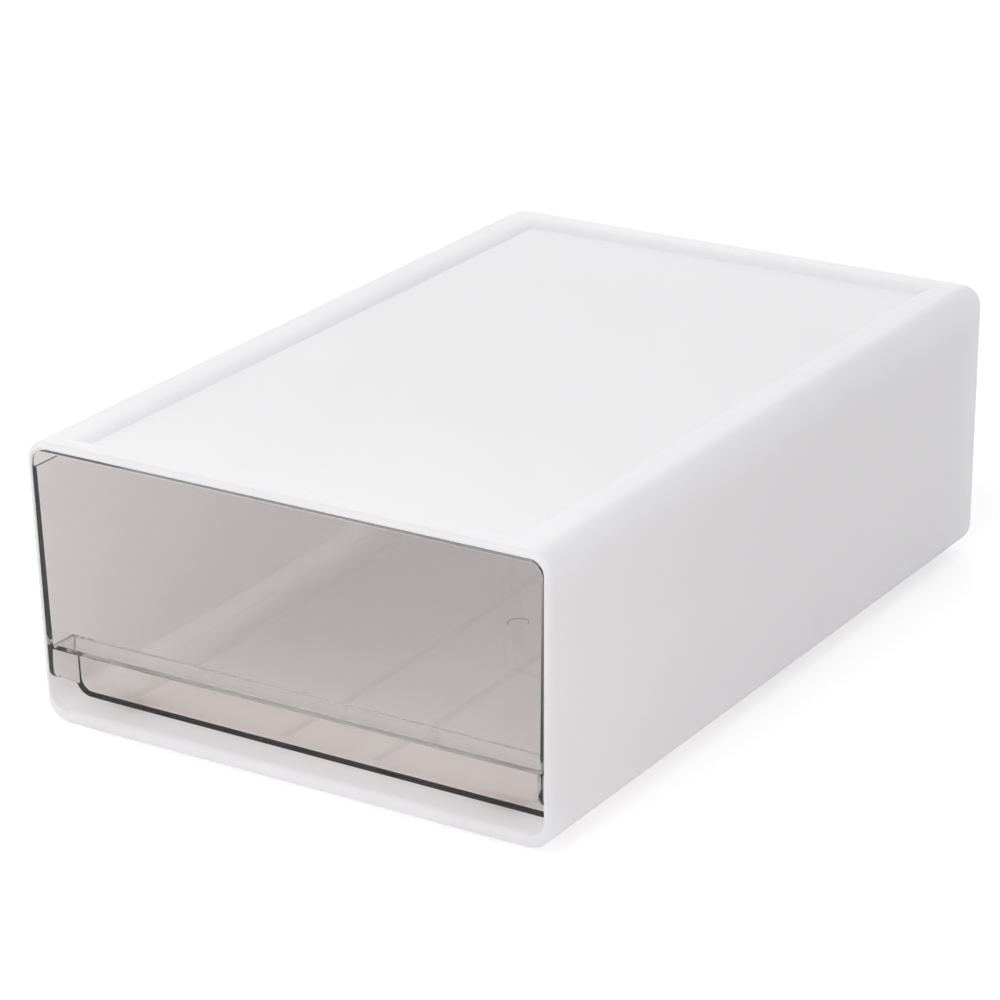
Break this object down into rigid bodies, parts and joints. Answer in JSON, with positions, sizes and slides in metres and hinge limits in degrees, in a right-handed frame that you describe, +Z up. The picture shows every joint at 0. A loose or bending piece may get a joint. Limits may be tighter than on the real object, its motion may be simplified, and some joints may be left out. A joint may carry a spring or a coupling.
{
  "type": "stackable drawer box",
  "caption": "Stackable desktop drawer box: opaque white sleeve with a shallow recess on top and a clear one-piece drawer with a finger ledge along its front.",
  "frame": {"origin": "on the ground, under the centre of the box", "axes": "+X to the right side, front faces -Y, +Z up"},
  "size_m": [0.2496, 0.365, 0.127],
  "materials": {
    "case_white": "white ABS, satin",
    "clear_smoke": "clear, faintly smoky polystyrene, polished",
    "foot_rubber": "matt, soft"
  },
  "bodies": {
    "case": {"case": "case_white", "back_panel": "case_white", "foot_front_left": "foot_rubber", "foot_front_right": "foot_rubber", "foot_rear_left": "foot_rubber", "foot_rear_right": "foot_rubber"},
    "drawer": {"drawer": "clear_smoke"}
  },
  "joints": [
    {"name": "drawer_slide", "type": "slide", "parent": "case", "child": "drawer", "axis": [0, -1, 0], "range_m": [0, 0.2855]}
  ]
}
